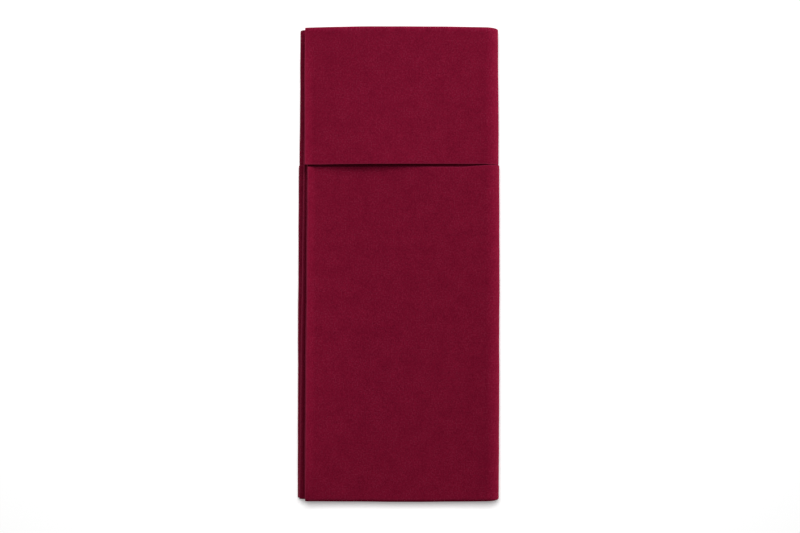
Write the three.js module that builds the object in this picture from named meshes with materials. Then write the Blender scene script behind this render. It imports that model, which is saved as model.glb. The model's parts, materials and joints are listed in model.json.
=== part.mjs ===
// A cutlery pocket napkin: one oblong sheet of soft nonwoven cloth.  Its two ends are turned in to make a
// short flap and a long pocket that meet at a slit, then it is halved twice across, so that four double
// panels lie on each other.  Millimetres, +Z up, flap towards +Y, the thick fold towards +X.
import * as THREE from 'three';

// Sizes of the cloth and of the folded napkin
const SHEET = 1; // thickness of the cloth
const LENGTH = 200.55; // from the pocket's fold to the flap's fold
const FLAP_END = 42.25; // cut end of the flap, measured along Y from the middle
const POCKET_END = 41.15; // cut end of the pocket, just short of the flap
const LAYER_GAP = 0.2; // air between layers that lie on each other
const POCKET_EASE = 0.3; // further air inside the pocket

// Where the folds and the cut sides lie across the napkin
const THICK_FOLD_X = 37.45; // middle of the fold round all four panels, on the right
const THICK_FOLD_REACH = 4.2; // how far that fold reaches past its middle
const INNER_FOLD_X = 36.8; // middle of the fold inside it
const LEFT_FOLD_X = -40.25; // middle of the fold of the two lower panels, on the left
const TOP_SIDE_X = -39.5; // cut side of the top panel
const INNER_SIDE_X = -40.6; // cut side of the panel under it

// How the folds and ends stray from straight lines
const LEFT_LEAN = 0.0045; // how far the left fold leans to the right for each millimetre along Y
const INNER_LEAN = 0.0139; // the same for the inner cut side
const THICK_FOLD_BARREL = 0.3; // how far the thick fold is drawn in at both ends
const LEFT_FOLD_BARREL = 0.22; // the same for the left fold
const END_BOW = 0.5; // how far the two ends bow out
const END_BOW_X = 1.5; // where across the napkin they bow out most
const LOWER_SHORT = 0.6; // how much shorter the panel under the top one is at the pocket's fold
const SHORT_SHARE = 0.6; // share of that shortness in the other lower panels
const POCKET_DRAWN_IN = 1.15; // how far the pocket's cut side is drawn in at the slit
const DRAWN_IN_FADE = 20; // how far above the slit the layer under the flap is drawn in
const SLIT_CLOSED = 0.8; // how much narrower the slit is on the lower panels
const CLOSING_WIDTH = 6; // width beside the thick fold where the slit draws closed
const CLOSING_AT_FOLD = 0.6; // share of that closing where the thick fold begins

// How unevenly it lies
const SAG = 0.8; // how far the middle of the top sags at the pocket's fold
const HALF_WIDTH = 41.5; // where the sag and the bow have died away
const SIDE_RISE = 2.2; // how far the cut sides stand up towards the pocket's fold
const SIDE_RISE_WIDTH = 26; // width beside the cut sides that stands up
const SIDE_CURL = 0.9; // how far the top panel's cut side curls up
const SIDE_GAPE = 0.5; // how much further its upper layer curls than its lower one
const SIDE_CURL_WIDTH = 3.8; // width of the cut side that curls up
const INNER_CURL = 0.7; // how far the cut side under it curls up
const INNER_CURL_WIDTH = 2.6; // width of that side that curls up
const FLAP_LIFT = 2.3; // how far the flap's cut end stands up where it stands up most
const FLAP_LIFT_X = -24; // where across the napkin that is
const FLAP_LIFT_WIDTH = 30; // how far to either side the lift dies away
const FLAP_LIFT_LENGTH = 56; // length of the flap that bends up

// Powers that say how suddenly each of these sets in
const SAG_POWER = 4; // the sag, from the long sides to the middle
const HOLD_POWER = 6; // the hold of the end folds on the cut sides
const CURL_POWER = 2; // the curls and the rise, towards a cut side
const LIFT_POWER = 1.5; // the flap's lift, towards its cut end
const DRAWN_IN_POWER = 1.2; // the pocket's drawing in, up to the slit
const FADE_POWER = 2; // the same under the flap
const CLOSING_POWER = 4; // the slit's closing, along the pocket

// Distances of the layers' middles from the middle line of a double panel
const BACK_OUT = -(LAYER_GAP + SHEET) / 2;
const FLAP_OUT = (LAYER_GAP + SHEET) / 2;
const POCKET_OUT = FLAP_OUT + POCKET_EASE;
const BACK_FACE = SHEET / 2 - BACK_OUT;
const POCKET_FACE = SHEET / 2 + POCKET_OUT;

// Heights of the middle lines of the four double panels: they lie back to back and pocket to pocket in turn
const LOWEST_Z = POCKET_FACE;
const SECOND_Z = LOWEST_Z + 2 * BACK_FACE + LAYER_GAP;
const THIRD_Z = SECOND_Z + 2 * POCKET_FACE + LAYER_GAP;
const TOP_Z = THIRD_Z + 2 * BACK_FACE + LAYER_GAP;

// Middles of the flap's and the pocket's folds
const HALF_LENGTH = LENGTH / 2;
const FLAP_FOLD_REACH = (FLAP_OUT - BACK_OUT) / 2;
const FLAP_FOLD_Y = HALF_LENGTH - FLAP_FOLD_REACH - SHEET / 2;
const POCKET_FOLD_REACH = (POCKET_OUT - BACK_OUT) / 2;
const POCKET_FOLD_Y = POCKET_FOLD_REACH + SHEET / 2 - HALF_LENGTH;

const QUARTER = Math.PI / 2;

function straight(fromX, toX, level) {
  return new THREE.LineCurve(new THREE.Vector2(fromX, level), new THREE.Vector2(toX, level));
}

// A half turn about a middle, which bulges by `reach`, from one level to another
function halfTurn(middle, reach, fromLevel, toLevel, startAngle, clockwise) {
  const height = Math.abs(toLevel - fromLevel) / 2;
  const endAngle = startAngle + (clockwise ? -2 : 2) * QUARTER;
  return new THREE.EllipseCurve(
    middle, (fromLevel + toLevel) / 2, reach, height, startAngle, endAngle, clockwise,
  );
}

// The sheet's run along Y, from the flap's cut end to the pocket's, drawn as Y and the distance out.
// `gape` gives the share of the upper layer's gape at the two ends of each row.
const LENGTHWISE = [
  { part: 'flap', steps: 8, gape: [1, 1], curve: straight(FLAP_END, FLAP_FOLD_Y, FLAP_OUT) },
  {
    part: 'flap fold', steps: 5, gape: [1, 0],
    curve: halfTurn(FLAP_FOLD_Y, FLAP_FOLD_REACH, FLAP_OUT, BACK_OUT, QUARTER, true),
  },
  { part: 'back', steps: 8, gape: [0, 0], curve: straight(FLAP_FOLD_Y, POCKET_FOLD_Y, BACK_OUT) },
  {
    part: 'pocket fold', steps: 5, gape: [0, 1],
    curve: halfTurn(POCKET_FOLD_Y, POCKET_FOLD_REACH, BACK_OUT, POCKET_OUT, -QUARTER, true),
  },
  { part: 'pocket', steps: 10, gape: [1, 1], curve: straight(POCKET_FOLD_Y, POCKET_END, POCKET_OUT) },
];

// The double panels' run across X, from the cut side on top to the one inside, drawn as X and Z.  `crowd`
// draws the stations together at a cut side.  At the two ends of each row, `lean` gives the slope along Y,
// `barrel` the shift at the napkin's ends, and `short` and `closing` the shares of the lower panels'
// shortness and of the slit's closing.
const CROSSWISE = [
  {
    part: 'top panel', steps: 14, crowd: 'start',
    lean: [0, 0], barrel: [0, -THICK_FOLD_BARREL],
    short: [0, 0], closing: [0, 0],
    curve: straight(TOP_SIDE_X, THICK_FOLD_X, TOP_Z),
  },
  {
    part: 'thick fold', steps: 10, crowd: 'none',
    lean: [0, 0], barrel: [-THICK_FOLD_BARREL, -THICK_FOLD_BARREL],
    short: [0, SHORT_SHARE], closing: [CLOSING_AT_FOLD, 1],
    curve: halfTurn(THICK_FOLD_X, THICK_FOLD_REACH, TOP_Z, LOWEST_Z, QUARTER, true),
  },
  {
    part: 'lowest panel', steps: 6, crowd: 'none',
    lean: [0, LEFT_LEAN], barrel: [-THICK_FOLD_BARREL, LEFT_FOLD_BARREL],
    short: [SHORT_SHARE, SHORT_SHARE], closing: [1, 1],
    curve: straight(THICK_FOLD_X, LEFT_FOLD_X, LOWEST_Z),
  },
  {
    part: 'left fold', steps: 7, crowd: 'none',
    lean: [LEFT_LEAN, LEFT_LEAN], barrel: [LEFT_FOLD_BARREL, LEFT_FOLD_BARREL],
    short: [SHORT_SHARE, SHORT_SHARE], closing: [1, 1],
    curve: halfTurn(LEFT_FOLD_X, (SECOND_Z - LOWEST_Z) / 2, LOWEST_Z, SECOND_Z, -QUARTER, true),
  },
  {
    part: 'second panel', steps: 7, crowd: 'none',
    lean: [LEFT_LEAN, 0], barrel: [LEFT_FOLD_BARREL, 0],
    short: [SHORT_SHARE, SHORT_SHARE], closing: [1, 1],
    curve: straight(LEFT_FOLD_X, INNER_FOLD_X, SECOND_Z),
  },
  {
    part: 'inner fold', steps: 7, crowd: 'none',
    lean: [0, 0], barrel: [0, 0],
    short: [SHORT_SHARE, SHORT_SHARE], closing: [1, 1],
    curve: halfTurn(INNER_FOLD_X, (THIRD_Z - SECOND_Z) / 2, SECOND_Z, THIRD_Z, -QUARTER, false),
  },
  {
    part: 'third panel', steps: 10, crowd: 'end',
    lean: [0, INNER_LEAN], barrel: [0, 0],
    short: [SHORT_SHARE, 1], closing: [1, 0],
    curve: straight(INNER_FOLD_X, INNER_SIDE_X, THIRD_Z),
  },
];

function crowded(share, crowd) {
  if (crowd === 'start') return share ** 2;
  if (crowd === 'end') return 1 - (1 - share) ** 2;
  return share;
}

// Stations along a run: a point of its middle line, the side the face looks to and the share of its row
function stations(run) {
  const list = [];
  run.forEach((row, index) => {
    for (let step = index === 0 ? 0 : 1; step <= row.steps; step += 1) {
      const share = crowded(step / row.steps, row.crowd);
      const heading = row.curve.getTangent(share);
      const facing = new THREE.Vector2(-heading.y, heading.x);
      list.push({ row, share, point: row.curve.getPoint(share), facing });
    }
  });
  return list;
}

function between([start, end], share) {
  return THREE.MathUtils.lerp(start, end, share);
}

// A share that falls from 1 at a distance of 0 to 0 at a given length
function fading(distance, length) {
  return THREE.MathUtils.clamp(1 - distance / length, 0, 1);
}

// The cut sides curl freely along the napkin, but not at its two ends, where the folds hold them
function freeToCurl(y) {
  return 1 - Math.min(1, Math.abs(y) / HALF_LENGTH) ** HOLD_POWER;
}

// The middle sags and the cut sides stand up, more towards the pocket's fold and in the upper layers
function panelRise(x, y, z) {
  const towardsPocket = 0.5 - y / LENGTH;
  const sag = SAG * Math.max(0, 1 - (x / HALF_WIDTH) ** SAG_POWER);
  const side = SIDE_RISE * fading(x - TOP_SIDE_X, SIDE_RISE_WIDTH) ** CURL_POWER * freeToCurl(y);
  const height = Math.max(0, (z - SHEET / 2) / (TOP_Z + POCKET_OUT - SHEET / 2));
  return (side - sag) * towardsPocket * height;
}

// The free sides of the two upper panels curl up, and the top flap bends up towards its cut end
function curlRise(across, along, x, y) {
  if (across.row.part === 'third panel') {
    return INNER_CURL * fading(x - INNER_SIDE_X, INNER_CURL_WIDTH) ** CURL_POWER * freeToCurl(y);
  }
  if (across.row.part !== 'top panel') return 0;
  const amount = SIDE_CURL + SIDE_GAPE * between(along.row.gape, along.share);
  const curl = amount * fading(x - TOP_SIDE_X, SIDE_CURL_WIDTH) ** CURL_POWER * freeToCurl(y);
  if (along.row.part !== 'flap') return curl;
  const lengthShare = fading(y - FLAP_END, FLAP_LIFT_LENGTH) ** LIFT_POWER;
  const widthShare = Math.exp(-(((x - FLAP_LIFT_X) / FLAP_LIFT_WIDTH) ** 2));
  return curl + FLAP_LIFT * lengthShare * widthShare;
}

// The top panel's cut side is drawn in towards the slit, below the flap
function sideDrawnIn(across, along, y) {
  if (across.row.part !== 'top panel' || ['flap', 'flap fold'].includes(along.row.part)) return 0;
  const belowSlit = Math.max(0, (POCKET_END - y) / (POCKET_END + HALF_LENGTH));
  const drawnInBelow = 1 - belowSlit ** DRAWN_IN_POWER;
  const drawnInAbove = fading(y - POCKET_END, DRAWN_IN_FADE) ** FADE_POWER;
  const drawnIn = y < POCKET_END ? drawnInBelow : drawnInAbove;
  return POCKET_DRAWN_IN * drawnIn * (1 - across.share);
}

// The pocket's cut end draws nearer to the flap's where the slit closes
function slitClosed(across, along) {
  if (along.row.part !== 'pocket') return 0;
  const besideFold = CLOSING_AT_FOLD * fading(THICK_FOLD_X - across.point.x, CLOSING_WIDTH);
  const closing = across.row.part === 'top panel' ? besideFold : between(across.row.closing, across.share);
  return SLIT_CLOSED * closing * along.share ** CLOSING_POWER;
}

// A point of the cloth: `half` is plus or minus half its thickness, for its two faces
function clothPoint(across, along, half) {
  const middleOut = along.point.y;
  const middleX = across.point.x + across.facing.x * middleOut;
  const middleZ = across.point.y + across.facing.y * middleOut;
  const middleY = along.point.x;
  const y = middleY + along.facing.x * half;
  const lean = between(across.row.lean, across.share) * y;
  const barrel = between(across.row.barrel, across.share) * (y / HALF_LENGTH) ** 2;
  const short = LOWER_SHORT * between(across.row.short, across.share) * (0.5 - y / LENGTH);
  const bow = END_BOW * (1 - ((middleX - END_BOW_X) / HALF_WIDTH) ** 2) * (y / HALF_LENGTH);
  const rise = panelRise(middleX, middleY, middleZ) + curlRise(across, along, middleX, middleY);
  return new THREE.Vector3(
    middleX + across.facing.x * along.facing.y * half + lean + barrel + sideDrawnIn(across, along, middleY),
    y + short + bow + slitClosed(across, along),
    middleZ + across.facing.y * along.facing.y * half + rise,
  );
}

// The closed sheet: a grid of points for each face, joined round the cut ends and sides
function sheetGeometry(acrossRun, alongRun) {
  const columns = acrossRun.length;
  const rows = alongRun.length;
  const positions = [];
  for (const half of [SHEET / 2, -SHEET / 2]) {
    for (const across of acrossRun) {
      for (const along of alongRun) {
        positions.push(...clothPoint(across, along, half).toArray());
      }
    }
  }
  const outer = (column, row) => column * rows + row;
  const inner = (column, row) => (columns + column) * rows + row;
  const triangles = [];
  const quad = (a, b, c, d) => triangles.push(a, b, c, a, c, d);
  const lastColumn = columns - 1;
  const lastRow = rows - 1;
  for (let column = 0; column < lastColumn; column += 1) {
    const next = column + 1;
    for (let row = 0; row < lastRow; row += 1) {
      quad(outer(column, row), outer(next, row), outer(next, row + 1), outer(column, row + 1));
      quad(inner(column, row), inner(column, row + 1), inner(next, row + 1), inner(next, row));
    }
    quad(outer(column, 0), inner(column, 0), inner(next, 0), outer(next, 0));
    quad(outer(column, lastRow), outer(next, lastRow), inner(next, lastRow), inner(column, lastRow));
  }
  for (let row = 0; row < lastRow; row += 1) {
    const next = row + 1;
    quad(outer(0, row), outer(0, next), inner(0, next), inner(0, row));
    quad(outer(lastColumn, row), inner(lastColumn, row), inner(lastColumn, next), outer(lastColumn, next));
  }
  const geometry = new THREE.BufferGeometry();
  geometry.setAttribute('position', new THREE.Float32BufferAttribute(positions, 3));
  geometry.setIndex(triangles);
  geometry.computeVertexNormals();
  return geometry;
}

const cloth = new THREE.MeshStandardMaterial({ color: 0x70112a, roughness: 0.95 });
const napkin = new THREE.Mesh(sheetGeometry(stations(CROSSWISE), stations(LENGTHWISE)), cloth);
napkin.name = 'napkin';

const part = new THREE.Group();
part.name = 'cutlery_pocket_napkin';
part.add(napkin);

export default part;
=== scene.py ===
"""A folded cutlery pocket napkin of wine-red nonwoven cloth, laid out as a Blender add-on.

The cloth is one oblong sheet.  Its ends are turned in to make a short flap and a long pocket that meet at a
slit, and the double strip is halved twice across.  The script lays the sheet along those folds, gives it its
thickness and its felted finish, and sets it on a plain pale floor.
"""

import json
import math

import bpy
import numpy as np
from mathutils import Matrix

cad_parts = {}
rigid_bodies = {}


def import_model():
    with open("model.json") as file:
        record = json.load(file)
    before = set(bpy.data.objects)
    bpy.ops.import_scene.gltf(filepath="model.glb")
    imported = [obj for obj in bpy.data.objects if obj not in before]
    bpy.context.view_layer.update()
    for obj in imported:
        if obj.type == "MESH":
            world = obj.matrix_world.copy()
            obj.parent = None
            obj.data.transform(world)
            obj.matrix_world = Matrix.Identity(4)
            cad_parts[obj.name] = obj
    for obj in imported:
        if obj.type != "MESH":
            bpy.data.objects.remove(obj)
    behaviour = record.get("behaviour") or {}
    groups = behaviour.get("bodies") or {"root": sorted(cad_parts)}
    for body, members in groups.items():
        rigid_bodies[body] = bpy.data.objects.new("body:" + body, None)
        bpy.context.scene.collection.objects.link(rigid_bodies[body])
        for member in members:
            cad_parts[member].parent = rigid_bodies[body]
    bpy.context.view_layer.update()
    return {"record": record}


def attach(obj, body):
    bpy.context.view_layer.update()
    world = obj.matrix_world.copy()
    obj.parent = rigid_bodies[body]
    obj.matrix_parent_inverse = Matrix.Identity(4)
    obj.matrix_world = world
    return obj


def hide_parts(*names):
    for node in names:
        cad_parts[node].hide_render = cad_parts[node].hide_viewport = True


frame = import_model()

bl_info = {
    "name": "Cutlery Pocket Napkin",
    "version": (1, 0, 0),
    "blender": (4, 5, 0),
    "location": "3D View > Sidebar > Napkin",
    "description": "Folds a cutlery pocket napkin and lays out its stage",
    "category": "Object",
}

MM = 0.001
PIECE = "folded_napkin"
FLOOR = "pale_floor"
CLOTH_MAP = "cloth"
CUT_EDGE = "cut_edge"

# The record's one sub-part, whose solid the folded sheet stands for
SUBPART = frame["record"]["subparts"][0]
NODE = SUBPART["node"]


# Settings


def length(label, description, millimetres):
    return bpy.props.FloatProperty(
        name=label, description=description, default=millimetres * MM, unit="LENGTH", precision=5
    )


def share(label, description, default):
    return bpy.props.FloatProperty(
        name=label, description=description, default=default, min=0.0, max=1.0, subtype="FACTOR"
    )


def number(label, description, default):
    return bpy.props.FloatProperty(name=label, description=description, default=default)


def colour(label, description, default):
    return bpy.props.FloatVectorProperty(
        name=label, description=description, default=default, min=0.0, max=1.0, size=3, subtype="COLOR"
    )


class NapkinSizes(bpy.types.PropertyGroup):
    """Sizes of the sheet, its folds and its unevenness."""

    sheet: length("Sheet", "Thickness of the cloth", 1.0)
    folded_length: length("Folded length", "From the pocket's fold to the flap's fold", 200.55)
    flat_width: length("Flat width", "Short side of the sheet before it is folded", 330.0)
    flat_length: length("Flat length", "Long side of the sheet before it is folded", 400.0)
    flap_end: length("Flap end", "Cut end of the flap, from the middle of the length", 42.25)
    pocket_end: length("Pocket end", "Cut end of the pocket, just short of the flap", 41.15)
    flap_skew: number("Flap skew", "Slope of the flap's cut end across the napkin", 0.005)
    layer_gap: length("Layer gap", "Air between layers that lie on each other", 0.2)
    pocket_ease: length("Pocket ease", "Further air inside the pocket", 0.3)

    thick_fold_x: length("Thick fold", "Middle of the fold round all four panels", 37.45)
    thick_fold_reach: length("Thick fold reach", "How far that fold reaches past its middle", 4.2)
    inner_fold_x: length("Inner fold", "Middle of the fold inside the thick one", 36.8)
    left_fold_x: length("Left fold", "Middle of the fold of the two lower panels", -40.03)
    top_side_x: length("Top side", "Cut side of the top panel", -39.5)
    inner_side_x: length("Inner side", "Cut side of the panel under the top one", -40.6)

    flap_crown: length("Flap crown", "How far the middle stands up at the flap's fold", 0.2)
    pocket_crown: length("Pocket crown", "The same at the pocket's fold, where the middle sags", -1.6)
    crown_half_width: length("Crown half width", "Where the crown has died away", 41.5)
    side_rise: length("Side rise", "How far the cut sides stand up towards the pocket's fold", 2.6)
    side_rise_width: length("Side rise width", "Width beside the cut sides that stands up", 26.0)

    end_bow: length("End bow", "How far the two ends bow out", 0.5)
    end_bow_x: length("End bow place", "Where across the napkin the ends bow out most", 1.5)
    flap_roll: share("Flap roll", "How much more softly the flap's fold rolls over on top", 0.9)
    pressed: share("Pressed", "How flat the ends of the lower panels are pressed", 0.6)
    end_length: length("End length", "How far from the ends the cloth is rolled or pressed", 2.5)
    pocket_short: length("Pocket short", "How much shorter the panel under the top one is at the pocket", 0.6)
    flap_short: length("Flap short", "The same at the flap's fold", 0.35)
    short_share: share("Short share", "Share of that shortness in the other lower panels", 0.6)

    left_lean: number("Left lean", "Lean of the left fold, as a slope along the length", 0.0045)
    inner_lean: number("Inner lean", "Lean of the inner cut side, as a slope along the length", 0.0139)
    left_fold_barrel: length("Left barrel", "How much further the left fold reaches at mid length", 0.22)
    thick_fold_barrel: length("Barrel", "How much further the thick fold reaches at mid length", 0.3)

    pocket_drawn_in: length("Pocket drawn in", "How far the pocket's cut side is drawn in at the slit", 1.15)
    drawn_in_fade: length("Drawn-in fade", "How far above the slit the layer below is drawn in", 20.0)
    slit_closed: length("Slit closed", "How much nearer the slit's two ends lie on the lower panels", 1.05)
    closing_width: length("Closing width", "Width beside the thick fold where the slit draws closed", 10.0)
    closing_at_fold: share("Closing at fold", "Share of that closing where the thick fold begins", 0.78)

    flap_lift: length("Flap lift", "How far the flap's cut end stands up where it stands up most", 2.3)
    flap_lift_x: length("Flap lift place", "Where across the napkin the flap's end stands up most", -14.0)
    flap_lift_width: length("Flap lift width", "How far to either side the lift dies away", 30.0)
    flap_lift_length: length("Flap lift length", "Length of the flap that bends up", 56.0)
    side_curl: length("Side curl", "How far the top panel's cut side curls up", 0.9)
    side_gape: length("Side gape", "How much further its upper layer curls than its lower one", 0.5)
    side_curl_width: length("Side curl width", "Width of the cut side that curls up", 3.8)
    inner_curl: length("Inner curl", "How far the cut side under the top one curls up", 1.25)
    inner_curl_width: length("Inner curl width", "Width of that side that curls up", 2.6)
    corner_curl: length("Corner curl", "How far the flap's free corner curls up", 0.4)
    corner_curl_width: length("Corner curl width", "How far across the corner's curl reaches", 15.0)
    corner_curl_length: length("Corner curl length", "How far along the corner's curl reaches", 24.0)

    thinned_width: length("Thinned width", "Width along the cut edges where the cloth is thinner", 1.0)
    thinned_share: share("Thinned share", "Share of the thickness left at the cut edges", 0.85)


class ClothFinish(bpy.types.PropertyGroup):
    """Dye, fibres, lint, the painted highlight along the cut edges, and sheen of the cloth."""

    dye_deep: colour("Deep dye", "Colour between the fibres", (0.088, 0.0008, 0.0105))
    dye_bright: colour("Bright dye", "Colour of the raised fibres", (0.180, 0.0042, 0.0229))
    # The lint colour also makes the painted highlight along the cut edges
    lint_and_edge_highlight_colour: colour("Lint colour", "Colour of loose and frayed fibres", (0.185, 0.0160, 0.0420))

    fibre_count: number("Fibre count", "Fibres side by side in a metre of cloth", 4200.0)
    fibre_lengths: number("Fibre lengths", "Fibre lengths end to end in a metre of cloth", 330.0)
    bend_count: number("Bend count", "Bends of the fibres in a metre of cloth", 420.0)
    bend_reach: length("Bend reach", "How far a bend strays from a straight fibre", 1.6)
    clump_count: number("Clump count", "Clumps of fibres in a metre of cloth", 900.0)
    cloud_count: number("Cloud count", "Denser clouds in a metre of cloth", 150.0)
    speck_count: number("Speck count", "Specks of lint in a metre of cloth", 1800.0)
    clump_share: share("Clump share", "Share of the clumps in the felt, beside the fibres", 0.55)
    cloud_share: share("Cloud share", "Share of the clouds in the density, beside the felt", 0.29)

    stray_lint: share("Stray lint", "Most lint that a speck has away from the cut edges", 0.30)
    lint_patchiness: share("Lint patchiness", "How unevenly the specks gather in the clouds", 0.3)
    # Lint along the cut edges is partly real fraying and partly a painted highlight that lightens the edges
    frayed_lint_and_highlight: share("Frayed lint", "Lint along the cut edges", 0.5)

    nap_depth: length("Nap depth", "Depth of the nap", 0.12)
    nap_strength: share("Nap strength", "How strongly the nap catches the light", 0.5)
    roughness_between: share("Roughness between", "Roughness between the fibres", 0.98)
    roughness_raised: share("Roughness raised", "Roughness of the raised fibres", 0.86)
    gloss: share("Gloss", "Gloss of the fibres", 0.03)
    sheen: share("Sheen", "Sheen of the nap where it is seen along the cloth", 0.4)
    sheen_roughness: share("Sheen roughness", "How widely the sheen spreads", 0.35)
    sheen_tint: colour("Sheen tint", "Colour of the sheen", (1.0, 0.06, 0.17))


class StudioSetup(bpy.types.PropertyGroup):
    """Floor, camera and light of the stage."""

    floor_colour: colour("Floor colour", "Colour of the pale floor", (0.90, 0.90, 0.90))
    floor_size: length("Floor size", "Side of the floor", 6000.0)
    floor_roughness: share("Floor roughness", "Roughness of the floor", 0.9)
    floor_gloss: share("Floor gloss", "Gloss of the floor", 0.1)
    floor_glow: number("Floor glow", "Light that the floor gives off by itself", 0.30)
    camera_x: length("Camera X", "Camera's place across the napkin", 0.65)
    camera_y: length("Camera Y", "Camera's place along the napkin", -0.9)
    camera_height: length("Camera height", "Camera's height above the floor", 610.5)
    lens: number("Lens", "Focal length in millimetres", 63.92)
    surround: number("Surround", "Strength of the light from all round", 0.07)
    light: number("Light", "Strength of all the lamps together", 1.0)


# Listed unevenness of the top panel's upper faces: the middle of each swell or hollow, its reach across
# and along, and its height, in millimetres
SWELLS = [
    {"face": "pocket", "x": -30.0, "y": -38.0, "across": 12.0, "along": 34.0, "height": 0.22},
    {"face": "pocket", "x": 6.0, "y": 22.0, "across": 16.0, "along": 14.0, "height": -0.16},
    {"face": "pocket", "x": 24.0, "y": 12.0, "across": 14.0, "along": 24.0, "height": 0.18},
    {"face": "pocket", "x": 18.0, "y": -78.0, "across": 18.0, "along": 12.0, "height": -0.16},
    {"face": "pocket", "x": -12.0, "y": -62.0, "across": 15.0, "along": 18.0, "height": 0.14},
    {"face": "flap", "x": -18.0, "y": 78.0, "across": 12.0, "along": 10.0, "height": -0.12},
    {"face": "flap", "x": 20.0, "y": 70.0, "across": 18.0, "along": 14.0, "height": 0.12},
]

# Slow waves that keep folds and ends from being ruled straight, in millimetres and radians
RIPPLES = [
    {"wavelength": 61.0, "height": 0.035, "phase": 0.4},
    {"wavelength": 37.0, "height": 0.025, "phase": 2.1},
    {"wavelength": 17.0, "height": 0.015, "phase": 4.4},
]

# Height in millimetres over which those waves move on by one radian, so that the layers don't wave alike
RIPPLE_HEIGHT = 4.0

# Powers that say how suddenly each unevenness sets in
CROWN_POWER = 4
HOLD_POWER = 6
CURL_POWER = 2
LIFT_POWER = 1.5
SKEW_POWER = 2
DRAWN_IN_POWER = 1.2
FADE_POWER = 2
CLOSING_POWER = 4
END_WAVE_POWER = 4

# Stretches across the napkin that lie between the thick fold and the third panel
LOWER_STRETCHES = ("lowest panel", "left fold", "second panel", "inner fold")

QUARTER = math.pi / 2.0
CLOCKWISE = -1
ANTICLOCKWISE = 1

# Edges that turn by more than this stay sharp
SMOOTH_ANGLE = math.radians(55.0)

# The ways in radians that the fibres lie on the flat sheet
FIBRE_ANGLES = (0.25, 0.95, 1.75, 2.45)

# Levels of a pattern between which a fibre rises, a speck of lint grows, clouds go from thin to dense, and
# cloth near a cut edge frays and takes a painted highlight
FIBRE_LEVELS = (0.50, 0.72)
SPECK_LEVELS = (0.45, 0.80)
CLOUD_LEVELS = (0.35, 0.65)
FRAYED_HIGHLIGHT_LEVELS = (0.55, 1.0)

# Lamps, all aimed at the napkin: what each one lights, its place and sides in metres, and its power in watts
LAMPS = [
    {
        "name": "back_softbox", "lights": PIECE,
        "place": (0.15, 0.85, 0.85), "sides": (0.6, 0.7), "power": 9.6,
    },
    {
        "name": "right_softbox", "lights": PIECE,
        "place": (0.78, 0.72, 0.35), "sides": (0.4, 0.3), "power": 15.3,
    },
    {
        "name": "left_softbox", "lights": PIECE,
        "place": (-1.1, 0.15, 0.40), "sides": (0.5, 0.3), "power": 1.6,
    },
    {
        "name": "top_softbox", "lights": PIECE,
        "place": (-0.2, 0.1, 1.3), "sides": (1.2, 1.2), "power": 4.2,
    },
    {
        "name": "table_softbox", "lights": FLOOR,
        "place": (0.0, 0.166, 0.71), "sides": (0.30, 0.25), "power": 4.9,
    },
]

WHITE = (1.0, 1.0, 1.0, 1.0)


# Runs of the folded sheet, seen in section


def crowded(steps, crowding):
    """Shares from 0 to 1, drawn together towards both ends by `crowding`."""
    even = np.linspace(0.0, 1.0, steps + 1)
    eased = (1.0 - np.cos(np.pi * even)) / 2.0
    return even + crowding * (eased - even)


def straight(part, start, end, level, steps, crowding=0.6):
    """A flat stretch of a run.  Its face looks to the left of the way it goes."""
    shares = crowded(steps, crowding)
    heading = math.copysign(1.0, end - start)
    place = start + (end - start) * shares
    points = np.column_stack([place, np.full_like(place, level)])
    facing = np.tile((0.0, heading), (len(shares), 1))
    return {"part": part, "shares": shares, "points": points, "facing": facing}


def half_turn(part, middle, reach, levels, start_angle, turn, steps):
    """A fold of a run about a middle, from one level to another."""
    shares = crowded(steps, 0.0)
    angle = start_angle + turn * np.pi * shares
    height = abs(levels[1] - levels[0]) / 2.0
    across = middle + reach * np.cos(angle)
    up = (levels[0] + levels[1]) / 2.0 + height * np.sin(angle)
    heading = turn * np.column_stack([-reach * np.sin(angle), height * np.cos(angle)])
    heading /= np.linalg.norm(heading, axis=1, keepdims=True)
    facing = np.column_stack([-heading[:, 1], heading[:, 0]])
    return {"part": part, "shares": shares, "points": np.column_stack([across, up]), "facing": facing}


class Run:
    """Stations along a run: the part that each is on, its share of that part, its point and its facing."""

    def __init__(self, stretches):
        # A later stretch begins at the last station of the one before it, so its own first one is left out
        first, *later = stretches
        kept = [(first, slice(0, None))] + [(stretch, slice(1, None)) for stretch in later]
        self.part = np.concatenate(
            [np.full(len(stretch["shares"][used]), stretch["part"], dtype=object) for stretch, used in kept]
        )
        self.share = np.concatenate([stretch["shares"][used] for stretch, used in kept])
        self.points = np.concatenate([stretch["points"][used] for stretch, used in kept])
        self.facing = np.concatenate([stretch["facing"][used] for stretch, used in kept])
        steps = np.linalg.norm(np.diff(self.points, axis=0), axis=1)
        self.travelled = np.concatenate([[0.0], np.cumsum(steps)])

    def __len__(self):
        return len(self.share)

    def on(self, *parts):
        """Which stations are on these parts."""
        return np.isin(self.part, parts)

    def ramp(self, ends):
        """A value for each station, from each part's values at its two ends."""
        start = np.array([ends.get(part, (0.0, 0.0))[0] for part in self.part])
        end = np.array([ends.get(part, (0.0, 0.0))[1] for part in self.part])
        return start + (end - start) * self.share

    def from_cuts(self):
        """Distance on the flat sheet from each station to the nearer end of the run."""
        return np.minimum(self.travelled, self.travelled[-1] - self.travelled)


class Layers:
    """Distances of the layers from a double panel's middle line, and heights of the four panels."""

    def __init__(self, sizes):
        half = sizes.sheet / 2.0
        self.back = -(sizes.layer_gap / 2.0 + half)
        self.flap = sizes.layer_gap / 2.0 + half
        self.pocket = self.flap + sizes.pocket_ease
        back_face = half - self.back
        pocket_face = half + self.pocket
        self.lowest = pocket_face
        self.second = self.lowest + 2.0 * back_face + sizes.layer_gap
        self.third = self.second + 2.0 * pocket_face + sizes.layer_gap
        self.top = self.third + 2.0 * back_face + sizes.layer_gap


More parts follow.
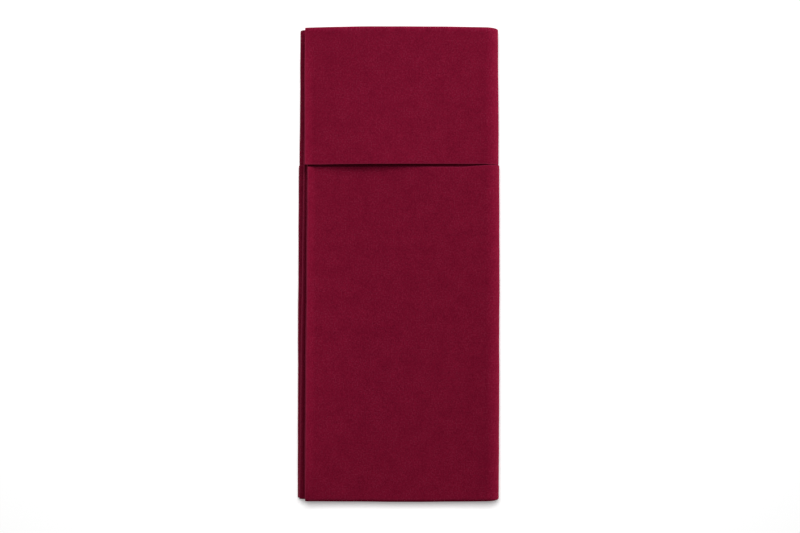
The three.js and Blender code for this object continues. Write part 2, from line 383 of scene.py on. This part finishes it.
def lengthwise_run(sizes, layers):
    """The sheet's run from the flap's cut end to the pocket's, as distance along the napkin and out of it."""
    flap_levels = (layers.flap, layers.back)
    flap_radius = (layers.flap - layers.back) / 2.0
    flap_fold = sizes.folded_length / 2.0 - flap_radius - sizes.sheet / 2.0
    pocket_levels = (layers.back, layers.pocket)
    pocket_radius = (layers.pocket - layers.back) / 2.0
    pocket_fold = -sizes.folded_length / 2.0 + pocket_radius + sizes.sheet / 2.0
    return Run([
        straight("flap", sizes.flap_end, flap_fold, layers.flap, steps=40),
        half_turn("flap fold", flap_fold, flap_radius, flap_levels, QUARTER, CLOCKWISE, steps=14),
        straight("back", flap_fold, pocket_fold, layers.back, steps=24, crowding=0.3),
        half_turn("pocket fold", pocket_fold, pocket_radius, pocket_levels, -QUARTER, CLOCKWISE, steps=10),
        straight("pocket", pocket_fold, sizes.pocket_end, layers.pocket, steps=84),
    ])


def crosswise_run(sizes, layers):
    """The double panels' run from the cut side on top to the one inside, as distance across and height."""
    thick_x = sizes.thick_fold_x
    thick_levels = (layers.top, layers.lowest)
    left_x = sizes.left_fold_x
    left_levels = (layers.lowest, layers.second)
    left_reach = (layers.second - layers.lowest) / 2.0
    inner_x = sizes.inner_fold_x
    inner_levels = (layers.second, layers.third)
    inner_reach = (layers.third - layers.second) / 2.0
    return Run([
        straight("top panel", sizes.top_side_x, thick_x, layers.top, steps=76),
        half_turn("thick fold", thick_x, sizes.thick_fold_reach, thick_levels, QUARTER, CLOCKWISE, steps=24),
        straight("lowest panel", thick_x, left_x, layers.lowest, steps=40),
        half_turn("left fold", left_x, left_reach, left_levels, -QUARTER, CLOCKWISE, steps=14),
        straight("second panel", left_x, inner_x, layers.second, steps=26),
        half_turn("inner fold", inner_x, inner_reach, inner_levels, -QUARTER, ANTICLOCKWISE, steps=12),
        straight("third panel", inner_x, sizes.inner_side_x, layers.third, steps=26),
    ])


# Unevenness of the folded sheet


def fading(distance, reach):
    """A share that falls from 1 at no distance to 0 at `reach`."""
    return np.clip(1.0 - distance / reach, 0.0, 1.0)


def ripple(distance, start):
    """A slow uneven wave along a distance, in metres."""
    wave = np.zeros_like(distance)
    for row in RIPPLES:
        turns = distance / (row["wavelength"] * MM)
        wave += row["height"] * MM * np.sin(2.0 * np.pi * turns + row["phase"] + start)
    return wave


def swell_rise(face, x, y):
    """Soft swells and hollows of one face, from the table."""
    rise = np.zeros_like(x)
    for row in SWELLS:
        if row["face"] == face:
            across = (x - row["x"] * MM) / (row["across"] * MM)
            along = (y - row["y"] * MM) / (row["along"] * MM)
            rise += row["height"] * MM * np.exp(-(across**2) - along**2)
    return rise


class FoldedSheet:
    """The middle of the cloth, as folded, with a column of points for each station across the napkin."""

    def __init__(self, sizes):
        self.sizes = sizes
        self.layers = Layers(sizes)
        self.across = crosswise_run(sizes, self.layers)
        self.along = lengthwise_run(sizes, self.layers)
        self.half_length = sizes.folded_length / 2.0

        out = self.along.points[None, :, 1]
        self.x = self.across.points[:, None, 0] + self.across.facing[:, None, 0] * out
        self.y = np.broadcast_to(self.along.points[None, :, 0], self.x.shape)
        self.z = self.across.points[:, None, 1] + self.across.facing[:, None, 1] * out

        self.top = self.across.on("top panel")
        self.top_flap = np.ix_(self.top, self.along.on("flap"))
        self.top_pocket = np.ix_(self.top, self.along.on("pocket"))
        self.layer_phase = self.across.points[:, None, 1] / (RIPPLE_HEIGHT * MM)

    def points(self):
        """Every point, moved from its ruled fold to where the cloth lies."""
        x = self.x + self.shift_across()
        y = self.y + self.shift_along()
        z = self.z + self.panel_rise() + self.curl_rise() + self.flap_rise()
        return np.stack([x, y, z], axis=-1)

    def free_to_curl(self):
        """How freely the cut sides curl: not at all at the two ends, where the folds hold them."""
        return 1.0 - np.clip(np.abs(self.y) / self.half_length, 0.0, 1.0) ** HOLD_POWER

    def panel_rise(self):
        """A crown that turns to a sag along the pocket, where the cut sides stand up.

        Both grow with the height in the stack, so the lowest layer stays flat.
        """
        sizes = self.sizes
        towards_pocket = 0.5 - self.y / sizes.folded_length
        crown = sizes.flap_crown + (sizes.pocket_crown - sizes.flap_crown) * towards_pocket
        hump = np.clip(1.0 - (self.x / sizes.crown_half_width) ** CROWN_POWER, 0.0, None)
        beside = fading(self.x - sizes.top_side_x, sizes.side_rise_width) ** CURL_POWER
        side = sizes.side_rise * towards_pocket * beside * self.free_to_curl()
        lowest = sizes.sheet / 2.0
        highest = self.layers.top + self.layers.pocket
        height = np.clip((self.z - lowest) / (highest - lowest), 0.0, None)
        return (crown * hump + side) * height

    def curl_rise(self):
        """Curled cut sides of the two upper panels, of which the top one gapes."""
        sizes = self.sizes
        rise = np.zeros_like(self.x)
        free = self.free_to_curl()
        gaping = self.along.ramp(
            {"flap": (1, 1), "flap fold": (1, 0), "pocket fold": (0, 1), "pocket": (1, 1)}
        )
        amount = sizes.side_curl + sizes.side_gape * gaping[None, :]
        side = free * fading(self.x - sizes.top_side_x, sizes.side_curl_width) ** CURL_POWER
        rise[self.top] = (amount * side)[self.top]
        third = self.across.on("third panel")
        inner = free * fading(self.x - sizes.inner_side_x, sizes.inner_curl_width) ** CURL_POWER
        rise[third] = sizes.inner_curl * inner[third]
        return rise

    def flap_rise(self):
        """The top flap bends up towards its cut end and curls at its corner, and both faces have swells."""
        sizes = self.sizes
        x = self.x[self.top_flap]
        y = self.y[self.top_flap]
        lift_width = np.exp(-(((x - sizes.flap_lift_x) / sizes.flap_lift_width) ** 2))
        corner_width = fading(x - sizes.top_side_x, sizes.corner_curl_width) ** CURL_POWER
        corner_length = fading(y - sizes.flap_end, sizes.corner_curl_length) ** CURL_POWER
        rise = np.zeros_like(self.x)
        rise[self.top_flap] = sizes.flap_lift * self.flap_bend() ** LIFT_POWER * lift_width
        rise[self.top_flap] += sizes.corner_curl * corner_width * corner_length
        rise[self.top_flap] += swell_rise("flap", x, y)
        rise[self.top_pocket] = swell_rise("pocket", self.x[self.top_pocket], self.y[self.top_pocket])
        return rise

    def flap_bend(self):
        """How near the top flap's points are to its cut end, over the length that bends up."""
        return fading(self.y[self.top_flap] - self.sizes.flap_end, self.sizes.flap_lift_length)

    def shift_across(self):
        """Leaning and bulging folds, the pocket's side drawn in at the slit, and slow waves."""
        sizes = self.sizes
        left = self.across.ramp({"lowest panel": (0, 1), "left fold": (1, 1), "second panel": (1, 0)})
        inner = self.across.ramp({"third panel": (0, 1)})
        thick = self.across.ramp({"top panel": (0, 1), "thick fold": (1, 1), "lowest panel": (1, 0)})
        lean = sizes.left_lean * left + sizes.inner_lean * inner
        towards_ends = (self.y / self.half_length) ** 2
        shift = lean[:, None] * self.y
        shift -= sizes.thick_fold_barrel * thick[:, None] * towards_ends
        shift -= sizes.left_fold_barrel * left[:, None] * (1.0 - towards_ends)

        below_slit = np.clip((sizes.pocket_end - self.y) / (sizes.pocket_end + self.half_length), 0.0, None)
        drawn_below = 1.0 - below_slit**DRAWN_IN_POWER
        drawn_above = fading(self.y - sizes.pocket_end, sizes.drawn_in_fade) ** FADE_POWER
        drawn_in = np.where(self.y < sizes.pocket_end, drawn_below, drawn_above)
        below_flap = np.ix_(self.top, self.along.on("back", "pocket fold", "pocket"))
        towards_side = (1.0 - self.across.share)[:, None]
        shift[below_flap] += sizes.pocket_drawn_in * (towards_side * drawn_in)[below_flap]
        return shift + ripple(self.y, self.layer_phase)

    def shift_along(self):
        """Shorter lower panels, bowed and wavy ends, a skewed flap, and a slit that closes to the right."""
        sizes = self.sizes
        lower = sizes.short_share
        short = self.across.ramp({
            "thick fold": (0, lower),
            **dict.fromkeys(LOWER_STRETCHES, (lower, lower)),
            "third panel": (lower, 1),
        })
        towards_flap = 0.5 + self.y / sizes.folded_length
        shortened = sizes.pocket_short * (1.0 - towards_flap) - sizes.flap_short * towards_flap
        bow = 1.0 - ((self.x - sizes.end_bow_x) / sizes.crown_half_width) ** 2
        shift = short[:, None] * shortened + sizes.end_bow * bow * self.y / self.half_length
        shift[self.top_flap] += sizes.flap_skew * self.x[self.top_flap] * self.flap_bend() ** SKEW_POWER

        closing = self.across.ramp({
            "thick fold": (sizes.closing_at_fold, 1),
            **dict.fromkeys(LOWER_STRETCHES, (1, 1)),
            "third panel": (1, 0),
        })
        from_fold = sizes.thick_fold_x - self.across.points[self.top, 0]
        closing[self.top] = sizes.closing_at_fold * fading(from_fold, sizes.closing_width)
        pocket = self.along.on("pocket")
        shift[:, pocket] += sizes.slit_closed * np.outer(closing, self.along.share[pocket] ** CLOSING_POWER)
        towards_ends = np.clip(np.abs(self.y) / self.half_length, 0.0, 1.0) ** END_WAVE_POWER
        return shift + towards_ends * ripple(self.x, self.layer_phase)

    def edge_nearness(self):
        """How near each point is to a cut edge: 1 on it, and 0 where the cloth has its whole thickness."""
        distance = np.minimum(self.across.from_cuts()[:, None], self.along.from_cuts()[None, :])
        return fading(distance, self.sizes.thinned_width)


# Mesh of the cloth


def grid_faces(columns, rows):
    """Corner numbers of the quads of a grid whose points are numbered row by row within a column."""
    corner = (np.arange(columns - 1)[:, None] * rows + np.arange(rows - 1)[None, :]).ravel()
    return np.column_stack([corner, corner + rows, corner + rows + 1, corner + 1])


def sheet_mesh(folded):
    """The folded sheet without its thickness, with its flat map and the nearness of its cut edges."""
    across = folded.across
    along = folded.along
    mesh = bpy.data.meshes.new(PIECE)
    faces = grid_faces(len(across), len(along))
    mesh.from_pydata(folded.points().reshape(-1, 3).tolist(), [], faces.tolist())

    corners = np.empty(len(mesh.loops), dtype=np.int32)
    mesh.loops.foreach_get("vertex_index", corners)
    flat = np.stack(np.meshgrid(across.travelled, along.travelled, indexing="ij"), axis=-1).reshape(-1, 2)
    cloth_map = mesh.uv_layers.new(name=CLOTH_MAP)
    cloth_map.data.foreach_set("uv", flat[corners].astype(np.float32).ravel())

    edge = mesh.attributes.new(CUT_EDGE, "FLOAT", "POINT")
    edge.data.foreach_set("value", folded.edge_nearness().astype(np.float32).ravel())
    mesh.update()
    return mesh


def apply_thickness(piece, folded):
    """Gives the sheet its thickness, thinner along the cut edges, and smooths all but the cut edges."""
    nearness = folded.edge_nearness().ravel()
    group = piece.vertex_groups.new(name=CUT_EDGE)
    for index in np.flatnonzero(nearness > 0.0):
        group.add([int(index)], float(nearness[index]), "REPLACE")
    solidify = piece.modifiers.new("cloth thickness", "SOLIDIFY")
    solidify.thickness = folded.sizes.sheet
    solidify.offset = 0.0
    solidify.vertex_group = group.name
    solidify.invert_vertex_group = True
    solidify.thickness_vertex_group = folded.sizes.thinned_share
    bpy.ops.object.select_all(action="DESELECT")
    piece.select_set(True)
    bpy.context.view_layer.objects.active = piece
    bpy.ops.object.modifier_apply(modifier=solidify.name)
    bpy.ops.object.shade_smooth_by_angle(angle=SMOOTH_ANGLE)
    piece.select_set(False)


def shape_ends(piece, folded):
    """Rolls the flap's fold over softly on top, and presses the ends of the lower panels flat."""
    sizes = folded.sizes
    vertices = piece.data.vertices
    points = np.empty(len(vertices) * 3)
    vertices.foreach_get("co", points)
    faces = 2
    points = points.reshape(faces, len(folded.across), len(folded.along), 3)

    # The change from rolled to pressed is done halfway round the thick fold
    lower = folded.across.ramp({
        "thick fold": (0, 2),
        **dict.fromkeys(LOWER_STRETCHES, (1, 1)),
        "third panel": (1, 1),
    })
    lower = np.minimum(lower, 1.0)[None, :, None]
    y = points[..., 1]
    from_flap_end = y.max(axis=(0, 2), keepdims=True) - y
    from_pocket_end = y - y.min(axis=(0, 2), keepdims=True)
    near_flap_end = from_flap_end * np.exp(-((from_flap_end / sizes.end_length) ** 2))
    near_pocket_end = from_pocket_end * np.exp(-((from_pocket_end / sizes.end_length) ** 2))
    roll = sizes.flap_roll * (1.0 - lower) - sizes.pressed * lower
    points[..., 1] -= roll * near_flap_end + sizes.pressed * lower * near_pocket_end
    vertices.foreach_set("co", points.ravel())
    piece.data.update()


# Nodes of the finish


# Sockets of a Mix node, which has one set for values and one for colours
MIX_SHARE = 0
MIX_VALUES = (2, 3)
MIX_COLOURS = (6, 7)
MIX_VALUE_OUT = 0
MIX_COLOUR_OUT = 2


def add_node(tree, kind, place, inputs=None, **settings):
    """A node of a tree, with its own settings.  Each named input is linked, or set if it is given a value."""
    node = tree.nodes.new(kind)
    node.location = place
    for name, value in settings.items():
        setattr(node, name, value)
    for name, value in (inputs or {}).items():
        if isinstance(value, bpy.types.NodeSocket):
            tree.links.new(value, node.inputs[name])
        else:
            node.inputs[name].default_value = value
    return node


def noise(tree, place, flat, count, detail, roughness=0.5):
    """A soft pattern with about `count` spots in a metre of flat cloth."""
    inputs = {"Vector": flat, "Scale": count, "Detail": detail, "Roughness": roughness}
    return add_node(tree, "ShaderNodeTexNoise", place, inputs, noise_dimensions="2D")


def mapped(tree, place, value, levels, results=(0.0, 1.0), easing="LINEAR"):
    """A value that goes from one result to the other between two levels."""
    inputs = {
        "Value": value,
        "From Min": levels[0], "From Max": levels[1],
        "To Min": results[0], "To Max": results[1],
    }
    return add_node(tree, "ShaderNodeMapRange", place, inputs, interpolation_type=easing).outputs["Result"]


def combined(tree, place, operation, first, second):
    """Two values put together by a Math node."""
    return add_node(tree, "ShaderNodeMath", place, {0: first, 1: second}, operation=operation).outputs[0]


def mixed_values(tree, place, portion, first, second):
    """Two values mixed by the second one's portion."""
    inputs = {MIX_SHARE: portion, MIX_VALUES[0]: first, MIX_VALUES[1]: second}
    return add_node(tree, "ShaderNodeMix", place, inputs).outputs[MIX_VALUE_OUT]


def mixed_colours(tree, place, portion, first, second):
    """Two colours mixed by the second one's portion."""
    inputs = {MIX_SHARE: portion, MIX_COLOURS[0]: first, MIX_COLOURS[1]: second}
    return add_node(tree, "ShaderNodeMix", place, inputs, data_type="RGBA").outputs[MIX_COLOUR_OUT]


def opaque(rgb):
    return (*rgb, 1.0)


# Finish of the cloth


def fibre_group(finish):
    """A layer of fine bent fibres that lie about one way on the sheet."""
    group = bpy.data.node_groups.new("fibre_layer", "ShaderNodeTree")
    group.interface.new_socket("Flat place", in_out="INPUT", socket_type="NodeSocketVector")
    group.interface.new_socket("Angle", in_out="INPUT", socket_type="NodeSocketFloat")
    group.interface.new_socket("Fibres", in_out="OUTPUT", socket_type="NodeSocketFloat")
    start = add_node(group, "NodeGroupInput", (-900, 0))
    flat = start.outputs["Flat place"]
    bends = noise(group, (-700, -200), flat, finish.bend_count, detail=2.0)
    push = add_node(
        group, "ShaderNodeVectorMath", (-500, -200),
        {0: bends.outputs["Color"], "Scale": finish.bend_reach}, operation="SCALE",
    )
    bent = add_node(
        group, "ShaderNodeVectorMath", (-300, 0), {0: flat, 1: push.outputs[0]}, operation="ADD"
    )
    turned = add_node(
        group, "ShaderNodeVectorRotate", (-100, 0),
        {"Vector": bent.outputs[0], "Angle": start.outputs["Angle"]}, rotation_type="Z_AXIS",
    )
    drawn_out = add_node(
        group, "ShaderNodeVectorMath", (100, 0),
        {0: turned.outputs[0], 1: (finish.fibre_lengths, finish.fibre_count, 1.0)}, operation="MULTIPLY",
    )
    strands = noise(group, (300, 0), drawn_out.outputs[0], 1.0, detail=1.0)
    ridges = mapped(group, (500, 0), strands.outputs["Fac"], FIBRE_LEVELS, easing="SMOOTHSTEP")
    add_node(group, "NodeGroupOutput", (700, 0), {"Fibres": ridges})
    return group


def all_fibres(tree, flat, finish):
    """The highest of the layers of fibres, one for each way that they lie."""
    group = fibre_group(finish)
    fibres = []
    for row, angle in enumerate(FIBRE_ANGLES):
        inputs = {"Flat place": flat, "Angle": angle}
        layer = add_node(tree, "ShaderNodeGroup", (-1300, 400 - 180 * row), inputs, node_tree=group)
        fibres.append(layer.outputs["Fibres"])
    highest = fibres[0]
    for row, other in enumerate(fibres[1:], start=1):
        highest = combined(tree, (-1050, 400 - 180 * row), "MAXIMUM", highest, other)
    return highest


def lint_and_edge_highlight_mask(tree, flat, clouds, finish):
    """Where lint shows: in specks that gather in the clouds, and along the frayed cut edges, where it is also
    a painted highlight.
    """
    specks = noise(tree, (-1300, 700), flat, finish.speck_count, detail=0.0)
    stray = mapped(
        tree, (-1050, 700), specks.outputs["Fac"], SPECK_LEVELS, (0.0, finish.stray_lint), "SMOOTHSTEP"
    )
    fewest = 1.0 - finish.lint_patchiness
    most = 1.0 + finish.lint_patchiness
    patches = mapped(tree, (-1050, 950), clouds, CLOUD_LEVELS, (fewest, most))
    gathered = combined(tree, (-800, 800), "MULTIPLY", stray, patches)
    # Along the cut edges the lint is partly fraying and partly a painted highlight that lightens the edges
    edge = add_node(tree, "ShaderNodeAttribute", (-800, 500), attribute_name=CUT_EDGE)
    frayed = mapped(tree, (-600, 500), edge.outputs["Fac"], FRAYED_HIGHLIGHT_LEVELS, (0.0, finish.frayed_lint_and_highlight))
    return combined(tree, (-350, 500), "MAXIMUM", frayed, gathered)


def airlaid_material(finish):
    """Felted wine-red nonwoven: fibres lying every way, cloudy density, lint, a painted highlight along the
    cut edges, and a weak sheen.
    """
    material = bpy.data.materials.new("wine_red_airlaid")
    material.use_nodes = True
    tree = material.node_tree
    tree.nodes.clear()
    flat = add_node(tree, "ShaderNodeUVMap", (-1600, 0), uv_map=CLOTH_MAP).outputs["UV"]

    fibres = all_fibres(tree, flat, finish)
    clumps = noise(tree, (-1300, -400), flat, finish.clump_count, detail=2.0, roughness=0.6)
    clouds = noise(tree, (-1300, -650), flat, finish.cloud_count, detail=2.0, roughness=0.55)
    felt = mixed_values(tree, (-800, 100), finish.clump_share, fibres, clumps.outputs["Fac"])
    density = mixed_values(tree, (-600, 0), finish.cloud_share, felt, clouds.outputs["Fac"])

    dye = mixed_colours(tree, (-350, 200), density, opaque(finish.dye_deep), opaque(finish.dye_bright))
    lint = lint_and_edge_highlight_mask(tree, flat, clouds.outputs["Fac"], finish)
    cloth = mixed_colours(tree, (-100, 300), lint, dye, opaque(finish.lint_and_edge_highlight_colour))
    roughness = mapped(
        tree, (-350, -150), felt, (0.0, 1.0), (finish.roughness_between, finish.roughness_raised)
    )
    nap = add_node(
        tree, "ShaderNodeBump", (-100, -250),
        {"Strength": finish.nap_strength, "Distance": finish.nap_depth, "Height": density},
    )
    shader = add_node(tree, "ShaderNodeBsdfPrincipled", (200, 200), {
        "Base Color": cloth, "Roughness": roughness, "Normal": nap.outputs["Normal"],
        "Specular IOR Level": finish.gloss, "Sheen Weight": finish.sheen,
        "Sheen Roughness": finish.sheen_roughness, "Sheen Tint": opaque(finish.sheen_tint),
    })
    add_node(tree, "ShaderNodeOutputMaterial", (500, 200), {"Surface": shader.outputs["BSDF"]})
    return material


def floor_material(studio):
    """A plain pale floor with a faint glow of its own, as a lit table has."""
    material = bpy.data.materials.new(FLOOR)
    material.use_nodes = True
    shader = material.node_tree.nodes["Principled BSDF"]
    shader.inputs["Base Color"].default_value = opaque(studio.floor_colour)
    shader.inputs["Roughness"].default_value = studio.floor_roughness
    shader.inputs["Specular IOR Level"].default_value = studio.floor_gloss
    shader.inputs["Emission Color"].default_value = WHITE
    shader.inputs["Emission Strength"].default_value = studio.floor_glow
    return material


# Operators


class NAPKIN_OT_fold_cloth(bpy.types.Operator):
    """Fold the sheet of cloth into the napkin and give it its finish"""

    bl_idname = "napkin.fold_cloth"
    bl_label = "Fold Cloth"

    def execute(self, context):
        sizes = context.scene.napkin_sizes
        folded = FoldedSheet(sizes)
        piece = bpy.data.objects.new(PIECE, sheet_mesh(folded))
        context.scene.collection.objects.link(piece)
        apply_thickness(piece, folded)
        shape_ends(piece, folded)
        piece.data.materials.append(airlaid_material(context.scene.napkin_finish))
        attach(piece, "root")
        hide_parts(NODE)
        return {"FINISHED"}


class NAPKIN_OT_lay_stage(bpy.types.Operator):
    """Lay the pale floor and set up the lamps and the camera"""

    bl_idname = "napkin.lay_stage"
    bl_label = "Lay Stage"

    def execute(self, context):
        studio = context.scene.napkin_studio
        self.lay_floor(context, studio)
        self.light_all_round(context, studio)
        self.hang_lamps(context, studio)
        self.aim_camera(context, studio)
        return {"FINISHED"}

    def lay_floor(self, context, studio):
        bpy.ops.object.select_all(action="DESELECT")
        bpy.ops.mesh.primitive_plane_add(size=studio.floor_size)
        floor = context.active_object
        floor.name = FLOOR
        floor.data.materials.append(floor_material(studio))

    def light_all_round(self, context, studio):
        world = bpy.data.worlds.new("studio")
        world.use_nodes = True
        background = world.node_tree.nodes["Background"]
        background.inputs["Color"].default_value = WHITE
        background.inputs["Strength"].default_value = studio.surround
        context.scene.world = world
        context.scene.view_settings.view_transform = "Standard"

    def hang_lamps(self, context, studio):
        for row in LAMPS:
            lamp = bpy.data.lights.new(row["name"], "AREA")
            lamp.shape = "RECTANGLE"
            lamp.size, lamp.size_y = row["sides"]
            lamp.energy = row["power"] * studio.light
            holder = bpy.data.objects.new(row["name"], lamp)
            holder.location = row["place"]
            holder.visible_camera = False
            holder.rotation_euler = (-holder.location).to_track_quat("-Z", "Y").to_euler()
            context.scene.collection.objects.link(holder)
            lit = bpy.data.collections.new("lit by " + row["name"])
            lit.objects.link(bpy.data.objects[row["lights"]])
            holder.light_linking.receiver_collection = lit

    def aim_camera(self, context, studio):
        lens = bpy.data.cameras.new("view_from_above")
        lens.lens = studio.lens
        camera = bpy.data.objects.new("view_from_above", lens)
        camera.location = (studio.camera_x, studio.camera_y, studio.camera_height)
        context.scene.collection.objects.link(camera)
        context.scene.camera = camera


class NAPKIN_PT_panel(bpy.types.Panel):
    """Lists the napkin's steps and settings"""

    bl_idname = "NAPKIN_PT_panel"
    bl_label = "Cutlery Pocket Napkin"
    bl_space_type = "VIEW_3D"
    bl_region_type = "UI"
    bl_category = "Napkin"

    def draw(self, context):
        for operator in (NAPKIN_OT_fold_cloth, NAPKIN_OT_lay_stage):
            self.layout.operator(operator.bl_idname)
        for settings, kind in SETTINGS.items():
            for name in kind.__annotations__:
                self.layout.prop(getattr(context.scene, settings), name)


SETTINGS = {
    "napkin_sizes": NapkinSizes,
    "napkin_finish": ClothFinish,
    "napkin_studio": StudioSetup,
}
CLASSES = (*SETTINGS.values(), NAPKIN_OT_fold_cloth, NAPKIN_OT_lay_stage, NAPKIN_PT_panel)


def register():
    for entry in CLASSES:
        bpy.utils.register_class(entry)
    for name, kind in SETTINGS.items():
        setattr(bpy.types.Scene, name, bpy.props.PointerProperty(type=kind))


def unregister():
    for name in SETTINGS:
        delattr(bpy.types.Scene, name)
    for entry in reversed(CLASSES):
        bpy.utils.unregister_class(entry)


def main():
    register()
    bpy.ops.napkin.fold_cloth()
    bpy.ops.napkin.lay_stage()


if __name__ == "__main__":
    main()
